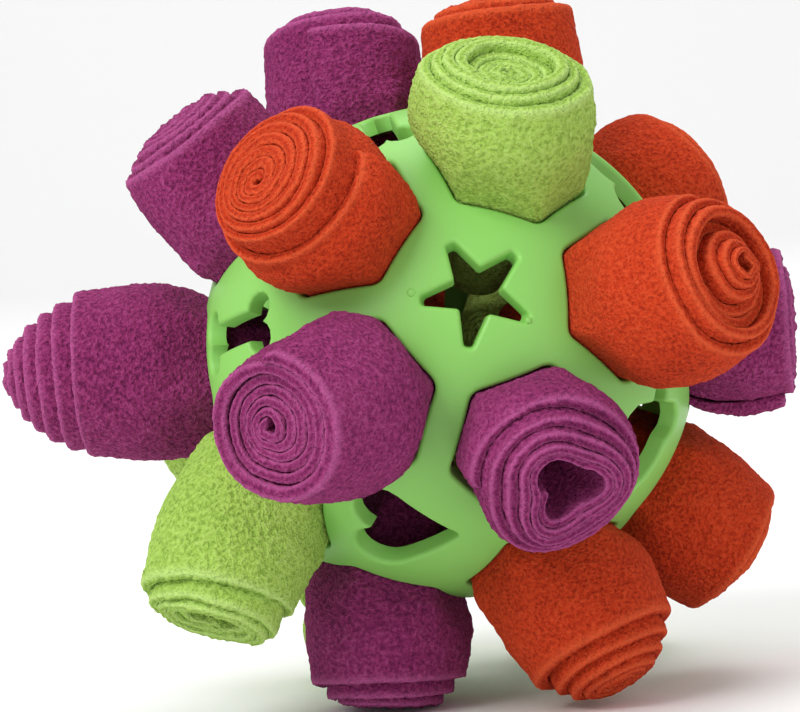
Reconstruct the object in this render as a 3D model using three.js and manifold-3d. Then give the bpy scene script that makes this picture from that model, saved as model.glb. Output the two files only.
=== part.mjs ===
// A snuffle ball for a dog: a hollow moulded ball with twelve cut-outs and twenty hexagon holes,
// and a tightly rolled strip of fleece pushed through each hexagon hole.
// Millimetres and degrees, +Z up. The origin is on the surface below the middle of the toy.
import * as THREE from 'three';
import { mergeVertices } from 'three/addons/utils/BufferGeometryUtils.js';
import Module from 'manifold-3d';

const wasm = await Module();
wasm.setup();

// The moulded ball
const ballRadius = 45;
const wall = 3.2;
const ballCentre = new THREE.Vector3(8.5, 2.3, 63.6);
const roundness = 4; // how finely the two spheres are divided

// How the pattern lies: the star at the front, and where the cut-out next to it sits round the star
const starTurn = 7.4; // from straight ahead toward +X
const starLift = 16.6; // above level
const patternTurn = -15.4; // clockwise from straight up, seen from outside

// The hexagon holes, measured on the outside of the ball
const holeHalfWidth = 12.9; // centre to the middle of a side
const holeCornerRadius = 2.5;
const holeCornerPoints = 3;
const rollClearance = 0.35; // between a hole and the roll in it

// The cut-outs, measured on the outside of the ball; their walls slope inward
const draftPerMm = 0.034; // how much smaller a cut-out gets for each millimetre of depth
const star = { tip: 9.6, notch: 4.1 };
const heart = { lobeAcross: 4.6, lobeUp: 3.6, lobeRadius: 5, point: 10.5, steps: 5 };
const bone = { lobeAlong: 9.2, lobeAcross: 2.9, lobeRadius: 3.1, halfShaft: 2.3, steps: 5 };
// The right half of the acorn from its point up to its stem: across, up
const acorn = [
  [0.1, -10], [3.4, -7.2], [5.6, -3.5], [6.3, 0.2], [8.8, 2.2], [8.8, 4.6], [6.6, 7], [2.1, 7.6],
  [2.1, 9.8], [1, 10.8],
];
// How far the cutting shapes reach past the inner and the outer face of the ball
const cutOutReach = { inner: 4, outer: 2 };
const holeReach = { inner: 8, outer: 3 };

// The twelve cut-outs: round is the place of the five about the front one, counted clockwise.
// turn is how far the figure is turned clockwise from upright, and shift moves it across and up.
const cutOuts = [
  { name: 'front', figure: 'star', turn: -21, shift: [-0.4, 0.2] },
  { name: 'top', round: 0, figure: 'bone', turn: 40, shift: [0, 0] },
  { name: 'upperRight', round: 1, figure: 'heart', turn: -68, shift: [0, 0] },
  { name: 'lowerRight', round: 2, figure: 'acorn', turn: 5, shift: [-1.6, 0.8] },
  { name: 'bottom', round: 3, figure: 'heart', turn: -77, shift: [-1, 1.8] },
  { name: 'left', round: 4, figure: 'bone', turn: -13, shift: [-1, 0.5] },
  { name: 'back', across: 'front', figure: 'star', turn: 12, shift: [0, 0] },
  { name: 'backBottom', across: 'top', figure: 'star', turn: 20, shift: [0, 0] },
  { name: 'backLeft', across: 'upperRight', figure: 'heart', turn: 8, shift: [0, 0] },
  { name: 'backUpperLeft', across: 'lowerRight', figure: 'acorn', turn: 20, shift: [0, 0] },
  { name: 'backTop', across: 'bottom', figure: 'heart', turn: -10, shift: [0, 0] },
  { name: 'backRight', across: 'left', figure: 'acorn', turn: 30, shift: [0, 0] },
];

// The twenty rolls. near: the three cut-outs round the hole. Lengths run from the ball's centre
// along the roll: rim is where the outermost turn stops, tip the end of the innermost one.
// bulge and rimRadius are the half-widths of the outermost turn beside the ball and at its rim,
// core the half-width of the innermost turn, and hollow the depth of the hole in it.
// turns are the ledges between rim and tip, dome how suddenly they rise, flap the corner of the
// hexagon where the strip ends, and lean how far the tip has moved from the hole's own line.
const rolls = [
  { name: 'roll_orange_upper_left', colour: 'orange', near: ['front', 'top', 'left'],
    rim: 62, rimRadius: 15.2, bulge: 16, tip: 69, core: 3.4, hollow: 0,
    turns: 4, dome: 0.8, flap: 1, lean: [-1.6, 0, -1.2] },
  { name: 'roll_lime_top', colour: 'lime', near: ['front', 'top', 'upperRight'],
    rim: 61.5, rimRadius: 14.6, bulge: 16.8, tip: 66.5, core: 4, hollow: 0,
    turns: 4, dome: 0.5, flap: 2, lean: [-3.4, 3, 3.5] },
  { name: 'roll_orange_right', colour: 'orange', near: ['front', 'upperRight', 'lowerRight'],
    rim: 65.5, rimRadius: 16, bulge: 16.8, tip: 73, core: 3.6, hollow: 2,
    turns: 4, dome: 0.9, flap: 4, lean: [0.3, 0, -1.2] },
  { name: 'roll_purple_lower_right', colour: 'purple', near: ['front', 'lowerRight', 'bottom'],
    rim: 54.5, rimRadius: 15.6, bulge: 16.2, tip: 66, core: 8.6, hollow: 5,
    turns: 3, dome: 0.8, flap: 0, lean: [0, 0, 0] },
  { name: 'roll_purple_lower_left', colour: 'purple', near: ['front', 'bottom', 'left'],
    rim: 72, rimRadius: 14.4, bulge: 16, tip: 74, core: 4, hollow: 0,
    turns: 4, dome: 1, flap: 3, lean: [-1.3, 0, 3.1] },
  { name: 'roll_lime_bottom_left', colour: 'lime', near: ['left', 'bottom', 'backLeft'],
    rim: 64.5, rimRadius: 12.9, bulge: 14.6, tip: 72, core: 7.4, hollow: 3,
    turns: 2, dome: 0.8, flap: 5, lean: [6.6, -0.8, -10.8] },
  { name: 'roll_purple_foot_left', colour: 'purple', near: ['bottom', 'backLeft', 'backBottom'],
    rim: 60, rimRadius: 15.2, bulge: 15.5, tip: 65.1, core: 11, hollow: 0,
    turns: 2, dome: 0.8, flap: 1, lean: [5, 0, -1.8] },
  { name: 'roll_orange_foot_right', colour: 'orange', near: ['bottom', 'backBottom', 'lowerRight'],
    rim: 62, rimRadius: 14.2, bulge: 15.6, tip: 70, core: 9.2, hollow: 0,
    turns: 3, dome: 0.8, flap: 2, lean: [1.3, 0, 0.5] },
  { name: 'roll_orange_bottom_right', colour: 'orange', near: ['lowerRight', 'backBottom', 'backRight'],
    rim: 64.5, rimRadius: 13.6, bulge: 15.2, tip: 67.5, core: 9, hollow: 0,
    turns: 2, dome: 0.8, flap: 3, lean: [0, 0, 0] },
  { name: 'roll_purple_side_right', colour: 'purple', near: ['lowerRight', 'backRight', 'upperRight'],
    rim: 62, rimRadius: 14.6, bulge: 15.6, tip: 65.2, core: 10, hollow: 0,
    turns: 2, dome: 0.8, flap: 0, lean: [0, 0, 0] },
  { name: 'roll_orange_back_upper_right', colour: 'orange', near: ['upperRight', 'backRight', 'backTop'],
    rim: 60, rimRadius: 14.4, bulge: 15.6, tip: 65.5, core: 6.6, hollow: 0,
    turns: 3, dome: 0.5, flap: 4, lean: [0, 0, 0] },
  { name: 'roll_orange_back_top', colour: 'orange', near: ['upperRight', 'backTop', 'top'],
    rim: 62, rimRadius: 14.4, bulge: 14.9, tip: 65.4, core: 10.6, hollow: 0,
    turns: 2, dome: 0.8, flap: 1, lean: [-8.1, 0, 2.8] },
  { name: 'roll_purple_back_top', colour: 'purple', near: ['top', 'backTop', 'backUpperLeft'],
    rim: 64, rimRadius: 14, bulge: 14.7, tip: 69.5, core: 8.6, hollow: 0,
    turns: 2, dome: 0.7, flap: 5, lean: [7, 0, 2.5] },
  { name: 'roll_purple_upper_left', colour: 'purple', near: ['top', 'backUpperLeft', 'left'],
    rim: 63, rimRadius: 13.8, bulge: 14.7, tip: 67.4, core: 6, hollow: 0,
    turns: 3, dome: 0.9, flap: 2, lean: [3.6, 0, 4.3] },
  { name: 'roll_purple_side_left', colour: 'purple', near: ['left', 'backUpperLeft', 'backLeft'],
    rim: 66, rimRadius: 15.4, bulge: 16.2, tip: 82.5, core: 2.8, hollow: 0,
    turns: 5, dome: 1.1, flap: 3, lean: [0, 0, 3.5] },
  { name: 'roll_orange_back_upper_left', colour: 'orange', near: ['backUpperLeft', 'backTop', 'back'],
    rim: 66, rimRadius: 14.6, bulge: 15.8, tip: 73, core: 5, hollow: 0,
    turns: 3, dome: 0.8, flap: 0, lean: [-2, 0, 2] },
  { name: 'roll_lime_back_right', colour: 'lime', near: ['backTop', 'backRight', 'back'],
    rim: 64, rimRadius: 15, bulge: 16.2, tip: 69.5, core: 4.4, hollow: 0,
    turns: 4, dome: 0.6, flap: 4, lean: [0, 0, -2.5] },
  { name: 'roll_lime_back_foot_right', colour: 'lime', near: ['backRight', 'backBottom', 'back'],
    rim: 73.4, rimRadius: 14.4, bulge: 15.6, tip: 83.4, core: 7, hollow: 0,
    turns: 3, dome: 0.8, flap: 1, lean: [-3.8, -7, -13.3] },
  { name: 'roll_lime_back_foot_left', colour: 'lime', near: ['backBottom', 'backLeft', 'back'],
    rim: 69.6, rimRadius: 14, bulge: 15.4, tip: 76.6, core: 8.4, hollow: 0,
    turns: 2, dome: 0.8, flap: 2, lean: [0, 0, 0] },
  { name: 'roll_lime_back_left', colour: 'lime', near: ['backLeft', 'backUpperLeft', 'back'],
    rim: 68, rimRadius: 14, bulge: 15.6, tip: 76, core: 5, hollow: 0,
    turns: 4, dome: 1, flap: 5, lean: [0, 1.5, -3] },
];

// Stations along every roll, from the ball's centre
const sides = 18; // points round a roll, three to a side of the hexagon
const innerEnd = { at: 18, radius: 5.4 };
const holeMiddle = 43; // where the hole has its stated width
const neckStart = 39.2;
const neckEnd = 43.4;
const shoulder = { at: 46.6, spread: 1.04 };
const bulgeAt = 53;
const bendShare = 0.5; // how much of the lean is a steady tilt and not a curve
const surfaceSlab = { across: 200, depth: 20 }; // what the toy stands on, for cutting its flats

const finishes = {
  rubber: { color: 0x86cf52, roughness: 0.5 },
  orange: { color: 0xd2491c, roughness: 0.95 },
  purple: { color: 0x8a2f72, roughness: 0.95 },
  lime: { color: 0x9dc659, roughness: 0.95 },
};

const radians = THREE.MathUtils.degToRad;
const up = new THREE.Vector3(0, 0, 1);

function material(name) {
  return new THREE.MeshStandardMaterial({ ...finishes[name], metalness: 0 });
}

// Axes of a place on the ball: right and above in the tangent plane, out away from the centre
function tangentAxes(out) {
  const above = up.clone().addScaledVector(out, -out.z).normalize();
  const right = above.clone().cross(out);
  return new THREE.Matrix4().makeBasis(right, above, out);
}

// The direction at an angle from a place on the ball, at a clock angle round it
function directionRound(out, clock, angle) {
  const [right, above, axis] = [new THREE.Vector3(), new THREE.Vector3(), new THREE.Vector3()];
  tangentAxes(out).extractBasis(right, above, axis);
  const flat = above.multiplyScalar(Math.cos(clock)).addScaledVector(right, Math.sin(clock));
  return axis.multiplyScalar(Math.cos(angle)).addScaledVector(flat, Math.sin(angle));
}

// The twelve cut-outs lie at the corners of an icosahedron, named in one object
function cutOutDirections() {
  const turn = radians(starTurn);
  const lift = radians(starLift);
  const front = new THREE.Vector3(
    Math.sin(turn) * Math.cos(lift),
    -Math.cos(turn) * Math.cos(lift),
    Math.sin(lift),
  );
  const nextAngle = Math.atan(2); // between neighbouring corners of an icosahedron
  const directions = { front };
  for (const { name, round } of cutOuts) {
    if (round !== undefined) {
      directions[name] = directionRound(front, radians(patternTurn + 72 * round), nextAngle);
    }
  }
  for (const { name, across } of cutOuts) {
    if (across) directions[name] = directions[across].clone().negate();
  }
  return directions;
}

function arc(x, y, radius, from, to, steps) {
  return Array.from({ length: steps + 1 }, (_, i) => {
    const angle = radians(from + ((to - from) * i) / steps);
    return new THREE.Vector2(x + radius * Math.cos(angle), y + radius * Math.sin(angle));
  });
}

const mirrored = (points) => points.map((p) => new THREE.Vector2(-p.x, p.y)).reverse();
const turned = (points) => points.map((p) => new THREE.Vector2(-p.x, -p.y));

// Outlines of the cut-outs, upright, counter-clockwise about the middle
const figures = {
  star() {
    return Array.from({ length: 10 }, (_, i) => {
      const angle = radians(90 + 36 * i);
      const radius = i % 2 ? star.notch : star.tip;
      return new THREE.Vector2(radius * Math.cos(angle), radius * Math.sin(angle));
    });
  },
  heart() {
    const { lobeAcross, lobeUp, lobeRadius, point, steps } = heart;
    const reach = Math.hypot(lobeAcross, lobeUp + point);
    const edge = Math.atan2(lobeUp + point, lobeAcross) - Math.asin(lobeRadius / reach);
    const from = THREE.MathUtils.radToDeg(edge) - 90;
    const to = 180 - THREE.MathUtils.radToDeg(Math.acos(lobeAcross / lobeRadius));
    const right = arc(lobeAcross, lobeUp, lobeRadius, from, to, steps);
    return [new THREE.Vector2(0, -point), ...right, ...mirrored(right).slice(1)];
  },
  bone() {
    const { lobeAlong, lobeAcross, lobeRadius, halfShaft, steps } = bone;
    const shaft = THREE.MathUtils.radToDeg(Math.asin((lobeAcross - halfShaft) / lobeRadius));
    const notch = THREE.MathUtils.radToDeg(Math.asin(lobeAcross / lobeRadius));
    const low = arc(lobeAlong, -lobeAcross, lobeRadius, 180 - shaft, 360 + notch, steps);
    const high = low.map((p) => new THREE.Vector2(p.x, -p.y)).reverse();
    const end = [...low, ...high.slice(1)];
    return [...end, ...turned(end)];
  },
  acorn() {
    const right = acorn.map(([x, y]) => new THREE.Vector2(x, y));
    return [...right, ...mirrored(right)];
  },
};

// A rounded hexagon whose first corner is at 30 degrees
function hexagonOutline(halfWidth, cornerRadius, cornerPoints) {
  const corner = (halfWidth - cornerRadius) / Math.cos(radians(30));
  return Array.from({ length: 6 }, (_, i) => {
    const middle = 30 + 60 * i;
    const x = corner * Math.cos(radians(middle));
    const y = corner * Math.sin(radians(middle));
    return arc(x, y, cornerRadius, middle - 30, middle + 30, cornerPoints - 1);
  }).flat();
}

// A closed tapered plug: the outline at two heights, each with its own scale
function plug(outline, low, lowScale, high, highScale) {
  const faces = THREE.ShapeUtils.triangulateShape(outline, []);
  const at = (i, z, scale) => [outline[i].x * scale, outline[i].y * scale, z];
  const points = [];
  for (const [a, b, c] of faces) {
    points.push(at(a, high, highScale), at(b, high, highScale), at(c, high, highScale));
    points.push(at(a, low, lowScale), at(c, low, lowScale), at(b, low, lowScale));
  }
  for (let i = 0; i < outline.length; i += 1) {
    const j = (i + 1) % outline.length;
    points.push(at(i, low, lowScale), at(j, low, lowScale), at(j, high, highScale));
    points.push(at(i, low, lowScale), at(j, high, highScale), at(i, high, highScale));
  }
  return new THREE.BufferGeometry().setAttribute(
    'position',
    new THREE.Float32BufferAttribute(points.flat(), 3),
  );
}

function toSolid(geometry) {
  const bare = geometry.clone();
  bare.deleteAttribute('normal');
  bare.deleteAttribute('uv');
  const merged = mergeVertices(bare, 1e-4);
  return new wasm.Manifold(new wasm.Mesh({
    numProp: 3,
    vertProperties: new Float32Array(merged.attributes.position.array),
    triVerts: new Uint32Array(merged.index.array),
  }));
}

function toGeometry(solid) {
  const { vertProperties, triVerts } = solid.getMesh();
  return new THREE.BufferGeometry()
    .setAttribute('position', new THREE.BufferAttribute(vertProperties, 3))
    .setIndex(new THREE.BufferAttribute(triVerts, 1));
}

// Axes of a hexagon hole: out through the hole, and x toward the first of its three cut-outs
function holeAxes(near, directions) {
  const corners = near.map((name) => directions[name]);
  const out = corners[0].clone().add(corners[1]).add(corners[2]).normalize();
  const x = corners[0].clone().addScaledVector(out, -corners[0].dot(out)).normalize();
  return new THREE.Matrix4().makeBasis(x, out.clone().cross(x), out);
}

function cutOutPlug({ name, figure, turn, shift }, directions) {
  const angle = -radians(turn);
  const outline = figures[figure]().map((p) => (
    p.rotateAround(new THREE.Vector2(), angle).add(new THREE.Vector2(...shift))
  ));
  const low = ballRadius - wall - cutOutReach.inner;
  const high = ballRadius + cutOutReach.outer;
  const scaleAt = (z) => 1 + (z - ballRadius) * draftPerMm;
  return plug(outline, low, scaleAt(low), high, scaleAt(high))
    .applyMatrix4(tangentAxes(directions[name]));
}

function holePlug({ near }, directions) {
  const outline = hexagonOutline(holeHalfWidth, holeCornerRadius, holeCornerPoints);
  const low = ballRadius - wall - holeReach.inner;
  const high = ballRadius + holeReach.outer;
  return plug(outline, low, low / holeMiddle, high, high / holeMiddle)
    .applyMatrix4(holeAxes(near, directions));
}

function makeBall(directions) {
  let shell = toSolid(new THREE.IcosahedronGeometry(ballRadius, roundness))
    .subtract(toSolid(new THREE.IcosahedronGeometry(ballRadius - wall, roundness)));
  for (const roll of rolls) shell = shell.subtract(toSolid(holePlug(roll, directions)));
  for (const cut of cutOuts) shell = shell.subtract(toSolid(cutOutPlug(cut, directions)));
  const ball = new THREE.Mesh(toGeometry(shell), material('rubber'));
  ball.name = 'ball';
  return ball;
}

// Half-width of the hexagon neck at one of the points round it
function neckRadius(column) {
  const fromSide = radians(((column * 360) / sides) % 60 - 30);
  const flat = (holeHalfWidth - rollClearance) / Math.cos(fromSide);
  const corner = (holeHalfWidth - holeCornerRadius) / Math.cos(radians(30)) + holeCornerRadius;
  return Math.min(flat, corner - rollClearance);
}

// The rows of a roll, from inside the ball outward: how far along, and how wide at each turn angle.
// turnedBy runs from 0 at the flap to 1 after one turn; past the rim each row is a ledge of the coil.
function rollRows({ rim, rimRadius, bulge, tip, core, turns, dome }) {
  const drop = (rimRadius - core) / turns; // how much narrower the coil is after one turn
  const wound = (angle) => Math.min(angle, turns) / turns;
  const radiusAt = (angle) => rimRadius - (rimRadius - core) * wound(angle);
  const lengthAt = (angle) => rim + (tip - rim) * wound(angle) ** dome;
  const same = (along, radius) => () => [along, radius];
  const neck = (along, spread) => (_, column) => [along, neckRadius(column) * spread];
  const rows = [
    same(innerEnd.at, innerEnd.radius),
    neck(neckStart, neckStart / holeMiddle),
    neck(neckEnd, neckEnd / holeMiddle),
    neck(shoulder.at, (shoulder.spread * shoulder.at) / holeMiddle),
    (turnedBy) => [bulgeAt, bulge - drop * turnedBy],
    (turnedBy) => [rim, radiusAt(turnedBy)],
  ];
  for (let turn = 0; turn < turns; turn += 1) {
    rows.push((turnedBy) => [lengthAt(turn + turnedBy), radiusAt(turn + turnedBy)]);
    rows.push((turnedBy) => [lengthAt(turn + turnedBy), radiusAt(turn + 1 + turnedBy)]);
  }
  rows.push(same(tip, core));
  return rows;
}

// A point of a roll, carried along its leaning middle line
function rollPoint(along, radius, angle, roll, lean) {
  const share = Math.max(0, (along - ballRadius) / (roll.tip - ballRadius));
  const move = lean.clone().multiplyScalar(share * (bendShare + (1 - bendShare) * share));
  const slope = lean.clone().multiplyScalar(
    share > 0 ? (bendShare + 2 * (1 - bendShare) * share) / (roll.tip - ballRadius) : 0,
  );
  const axis = new THREE.Vector3(slope.x, slope.y, 1).normalize();
  const tilt = new THREE.Quaternion().setFromUnitVectors(up, axis);
  return new THREE.Vector3(radius * Math.cos(angle), radius * Math.sin(angle), 0)
    .applyQuaternion(tilt)
    .add(move)
    .add(new THREE.Vector3(0, 0, along));
}

// One fleece roll as a closed coil: the strip's outer end is a step down its side, and past the
// rim the turns climb toward the tip as one spiral ledge
function rollGeometry(roll, directions) {
  const axes = holeAxes(roll.near, directions);
  const lean = new THREE.Vector3(...roll.lean).transformDirection(axes.clone().invert())
    .multiplyScalar(Math.hypot(...roll.lean));
  lean.z = 0;
  const start = (roll.flap * sides) / 6;
  const rows = rollRows(roll).map((row) => Array.from({ length: sides + 1 }, (_, c) => {
    const angle = radians(30 + ((start + c) * 360) / sides);
    const [along, radius] = row(c / sides, (start + c) % sides);
    return rollPoint(along, radius, angle, roll, lean);
  }));
  const centres = [
    rollPoint(innerEnd.at, 0, 0, roll, lean),
    rollPoint(roll.tip - roll.hollow, 0, 0, roll, lean),
  ];
  const wallRows = rows.length - 2 * roll.turns - 1;
  const points = [];
  const quad = (a, b, c, d) => points.push(a, b, c, a, c, d);
  for (let r = 0; r + 1 < rows.length; r += 1) {
    for (let c = 0; c < sides; c += 1) {
      quad(rows[r][c], rows[r][c + 1], rows[r + 1][c + 1], rows[r + 1][c]);
    }
    if (r + 1 < wallRows) quad(rows[r][sides], rows[r][0], rows[r + 1][0], rows[r + 1][sides]);
  }
  const [first, last] = [rows[0], rows[rows.length - 1]];
  for (let c = 0; c < sides; c += 1) {
    points.push(centres[0], first[c + 1], first[c]);
    points.push(centres[1], last[c], last[c + 1]);
  }
  const geometry = new THREE.BufferGeometry().setFromPoints(points);
  return withoutSlivers(mergeVertices(geometry, 1e-4)).applyMatrix4(axes);
}

// Drops the triangles that have no area, where two corners of a quad are one point
function withoutSlivers(geometry) {
  const index = Array.from(geometry.index.array);
  const kept = [];
  for (let i = 0; i < index.length; i += 3) {
    const [a, b, c] = index.slice(i, i + 3);
    if (a !== b && b !== c && c !== a) kept.push(a, b, c);
  }
  geometry.setIndex(kept);
  return geometry;
}

// A slab below the surface, in the ball's frame: it takes a small flat off what rests on it
function underSurface() {
  const { across, depth } = surfaceSlab;
  const slab = new THREE.BoxGeometry(across, across, depth);
  slab.translate(0, 0, -ballCentre.z - depth / 2);
  return toSolid(slab);
}

function makeRolls(directions) {
  const surface = underSurface();
  return rolls.map((roll) => {
    const solid = toSolid(rollGeometry(roll, directions)).subtract(surface);
    const mesh = new THREE.Mesh(toGeometry(solid), material(roll.colour));
    mesh.name = roll.name;
    return mesh;
  });
}

const directions = cutOutDirections();
const toy = new THREE.Group();
toy.position.copy(ballCentre);
toy.add(makeBall(directions), ...makeRolls(directions));

export default toy;
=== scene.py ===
import math

import bpy
from mathutils import Matrix, Vector, noise


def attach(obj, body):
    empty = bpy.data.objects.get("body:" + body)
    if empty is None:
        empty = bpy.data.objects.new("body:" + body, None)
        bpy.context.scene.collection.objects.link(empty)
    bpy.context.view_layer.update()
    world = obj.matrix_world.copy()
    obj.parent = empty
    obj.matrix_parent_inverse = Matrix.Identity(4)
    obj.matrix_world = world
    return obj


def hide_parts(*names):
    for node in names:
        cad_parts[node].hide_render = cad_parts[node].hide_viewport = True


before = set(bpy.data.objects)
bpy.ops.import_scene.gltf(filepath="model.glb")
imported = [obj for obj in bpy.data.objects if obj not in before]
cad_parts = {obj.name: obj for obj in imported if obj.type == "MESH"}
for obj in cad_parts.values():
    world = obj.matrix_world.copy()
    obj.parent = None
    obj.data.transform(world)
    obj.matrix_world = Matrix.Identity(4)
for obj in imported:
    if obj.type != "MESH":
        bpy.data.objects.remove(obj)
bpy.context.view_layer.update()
mm = 0.001
noise.seed_set(7)  # without it the vector noise differs from run to run

# The rubber ball. Lengths are millimetres and angles degrees, here and for the fleece.
ball = {
    "radius": 45,
    "wall": 3.2,
    "centre": (8.5, 2.3, 63.6),
    "starTurn": 7.4,        # where the front star looks: from straight ahead toward +X
    "starLift": 16.6,       # and how far up
    "patternTurn": -15.4,   # where the next cut-out sits round the star
    "fineness": 7,          # of the outer sphere
    "holeHalfWidth": 12.9,  # hexagon holes
    "holeCorner": 2.5,
    "holeCornerSteps": 6,
    "holeMiddle": 43,       # how far out the holes have that width
    "holeRim": 0.7,         # rounding of the rubber round a hole
    "cutRim": 0.8,          # and round a cut-out
    "cutDraft": 0.034,      # a cut-out narrows by this share for each millimetre of depth
    "rimSteps": 4,
    "holeEdge": 2.5,        # longest edge in the outline of a hole
    "cutEdge": 2,           # and of a cut-out
    "pastInside": 1.5,      # how far the cutters reach past the two faces
    "pastOutside": 2,
    "smoothUnder": 40,      # edges that turn by less are shaded smooth
    # small moulded pips: right of and above the middle of a cut-out, half-width and height
    "pips": [("front", -11.6, 1.3, 0.75, 0.3), ("front", 8, -5.6, 0.6, 0.25), ("top", -0.6, -8.6, 0.6, 0.25)],
}

# The twelve cut-outs: round counts clockwise about the front star, across is the opposite one
cutOuts = [
    {"name": "front", "figure": "star", "turn": -21, "shift": (-0.4, 0.2)},
    {"name": "top", "round": 0, "figure": "bone", "turn": 40, "shift": (0, 0)},
    {"name": "upperRight", "round": 1, "figure": "heart", "turn": -68, "shift": (0, 0)},
    {"name": "lowerRight", "round": 2, "figure": "acorn", "turn": 5, "shift": (-1.6, 0.8)},
    {"name": "bottom", "round": 3, "figure": "heart", "turn": -77, "shift": (-1, 1.8)},
    {"name": "left", "round": 4, "figure": "bone", "turn": -13, "shift": (-2.4, 0.6)},
    {"name": "back", "across": "front", "figure": "star", "turn": 12, "shift": (0, 0)},
    {"name": "backBottom", "across": "top", "figure": "star", "turn": 20, "shift": (0, 0)},
    {"name": "backLeft", "across": "upperRight", "figure": "heart", "turn": 8, "shift": (0, 0)},
    {"name": "backUpperLeft", "across": "lowerRight", "figure": "acorn", "turn": 20, "shift": (0, 0)},
    {"name": "backTop", "across": "bottom", "figure": "heart", "turn": -10, "shift": (0, 0)},
    {"name": "backRight", "across": "left", "figure": "acorn", "turn": 30, "shift": (0, 0)},
]


def tangentAxes(out):  # right, above and out, at a place on the ball
    above = (Vector((0, 0, 1)) - out * out.z).normalized()
    return Matrix((above.cross(out), above, out)).transposed()


def cutOutDirections():
    turn, lift = math.radians(ball["starTurn"]), math.radians(ball["starLift"])
    front = Vector((math.sin(turn) * math.cos(lift), -math.cos(turn) * math.cos(lift), math.sin(lift)))
    found = {"front": front}
    apart = math.atan(2)  # between neighbouring corners of an icosahedron
    for cut in cutOuts:
        if "round" in cut:
            clock = math.radians(ball["patternTurn"] + 72 * cut["round"])
            flat = Vector((math.sin(clock), math.cos(clock), 0)) * math.sin(apart)
            found[cut["name"]] = tangentAxes(front) @ (flat + Vector((0, 0, math.cos(apart))))
    for cut in cutOuts:
        if "across" in cut:
            found[cut["name"]] = -found[cut["across"]]
    return found


directions = cutOutDirections()


def holeAxes(near):  # out through a hexagon hole, with x toward the first of its three cut-outs
    corners = [directions[name] for name in near]
    out = (corners[0] + corners[1] + corners[2]).normalized()
    x = (corners[0] - out * corners[0].dot(out)).normalized()
    return Matrix((x, out.cross(x), out)).transposed()


# Outlines of the cut-outs, upright and counter-clockwise
star = {"tip": 10, "notch": 4.4, "notchRound": 0.7, "tipWidth": 1.6, "tipRoundShare": 0.4}
heart = {"lobeAcross": 4.6, "lobeUp": 3.6, "lobeRadius": 5, "point": 10.5, "pointHalf": 0.4, "steps": 9}
bone = {"lobeAlong": 8.6, "lobeAcross": 2.7, "lobeRadius": 2.9, "halfShaft": 2.7, "steps": 9}
acorn = {
    "right": [(0.1, -10), (3.4, -7.2), (5.6, -3.5), (6.3, 0.2), (8.8, 2.2), (8.8, 4.6), (6.6, 7),
              (2.1, 7.6), (2.1, 9.8), (1, 10.8)],
    "roundShare": 0.45,     # of the next side, rounded off at each corner
    "longestSide": 1.6,     # sides longer than this count as this long
}


def arc(x, y, radius, start, end, steps):
    angles = [math.radians(start + (end - start) * i / steps) for i in range(steps + 1)]
    return [Vector((x + radius * math.cos(a), y + radius * math.sin(a))) for a in angles]


def roundedCorners(points, radii):  # each corner cut back by its radius and bowed out between
    rounded = []
    for i, corner in enumerate(points):
        before = (points[i - 1] - corner).normalized()
        after = (points[(i + 1) % len(points)] - corner).normalized()
        start, end = corner + before * radii[i], corner + after * radii[i]
        for t in (0, 0.25, 0.5, 0.75, 1):
            rounded.append(start * (1 - t) ** 2 + corner * 2 * t * (1 - t) + end * t * t)
    return rounded


def starOutline():
    points, radii = [], []
    for i in range(10):
        angle = math.radians(90 + 36 * i)
        out = Vector((math.cos(angle), math.sin(angle)))
        if i % 2:
            points.append(out * star["notch"])
            radii.append(star["notchRound"])
            continue
        half = Vector((-out.y, out.x)) * star["tipWidth"] / 2
        points += [out * star["tip"] - half, out * star["tip"] + half]
        radii += [star["tipRoundShare"] * star["tipWidth"]] * 2
    return roundedCorners(points, radii)


def heartOutline():
    across, up, radius, point = (heart[k] for k in ("lobeAcross", "lobeUp", "lobeRadius", "point"))
    half = heart["pointHalf"]
    reach = math.hypot(across, up + point)
    edge = math.degrees(math.atan2(up + point, across) - math.asin(radius / reach)) - 90
    notch = 180 - math.degrees(math.acos(across / radius))
    right = arc(across, up, radius, edge, notch, heart["steps"])
    left = [Vector((-p.x, p.y)) for p in reversed(right)]
    return [Vector((-half, half - point)), Vector((half, half - point)), *right, *left[1:]]


def boneOutline():
    along, across, radius = bone["lobeAlong"], bone["lobeAcross"], bone["lobeRadius"]
    shaft = math.degrees(math.asin((across - bone["halfShaft"]) / radius))
    notch = math.degrees(math.asin(across / radius))
    low = arc(along, -across, radius, 180 - shaft, 360 + notch, bone["steps"])
    end = low + [Vector((p.x, -p.y)) for p in reversed(low)][1:]
    return end + [-p for p in end]


def acornOutline():
    right = [Vector(p) for p in acorn["right"]]
    points = right + [Vector((-p.x, p.y)) for p in reversed(right)]
    sides = [(p - q).length for p, q in zip(points, points[1:] + points[:1])]
    return roundedCorners(points, [acorn["roundShare"] * min(s, acorn["longestSide"]) for s in sides])


def subdivided(outline, longest):
    points = []
    for p, q in zip(outline, outline[1:] + outline[:1]):
        steps = max(1, math.ceil((q - p).length / longest))
        points += [p.lerp(q, i / steps) for i in range(steps)]
    return points


def hexagonOutline():
    corner = (ball["holeHalfWidth"] - ball["holeCorner"]) / math.cos(math.radians(30))
    outline = []
    for i in range(6):
        middle = 30 + 60 * i
        x, y = (corner * f(math.radians(middle)) for f in (math.cos, math.sin))
        outline += arc(x, y, ball["holeCorner"], middle - 30, middle + 30, ball["holeCornerSteps"])
    return subdivided(outline, ball["holeEdge"])


def grown(outline, by):
    points = []
    for i, p in enumerate(outline):
        before, after = p - outline[i - 1], outline[(i + 1) % len(outline)] - p
        if before.length * after.length == 0:
            points.append(p.copy())
            continue
        n, m = (Vector((d.y, -d.x)).normalized() for d in (before, after))
        points.append(p + (n + m) * by / (1 + max(n.dot(m), -0.3)))
    return points


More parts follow.
